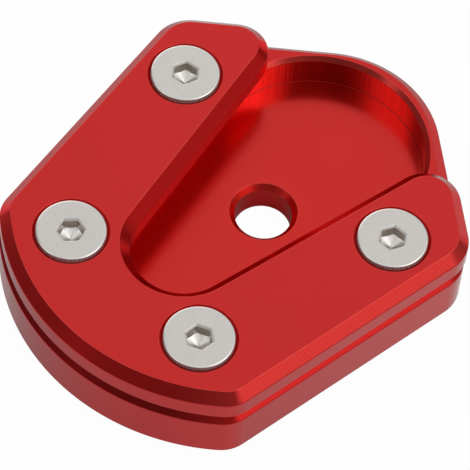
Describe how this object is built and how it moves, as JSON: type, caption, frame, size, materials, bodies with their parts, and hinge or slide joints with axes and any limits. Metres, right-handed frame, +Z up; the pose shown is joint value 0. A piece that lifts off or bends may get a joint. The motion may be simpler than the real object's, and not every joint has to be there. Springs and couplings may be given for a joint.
{
  "type": "kickstand foot enlarger",
  "caption": "Wide clamp-on foot for a motorbike side stand: a milled base plate with a foot pocket and centre hole, a fork-shaped clamp plate with a lip, and countersunk socket screws.",
  "frame": {"origin": "axis of the centre hole at the underside of the base plate", "axes": "+Z up out of the clamp plate, +Y toward the round nose, +X across, with the YZ plane as the plane of symmetry"},
  "size_m": [0.0696, 0.0837, 0.0181],
  "materials": {
    "red_anodised": "satin red anodising over milled aluminium",
    "screw_steel": "satin stainless steel"
  },
  "bodies": {
    "root": {"base_plate": "red_anodised", "clamp_plate": "red_anodised", "clamp_screws": "screw_steel"}
  },
  "joints": []
}
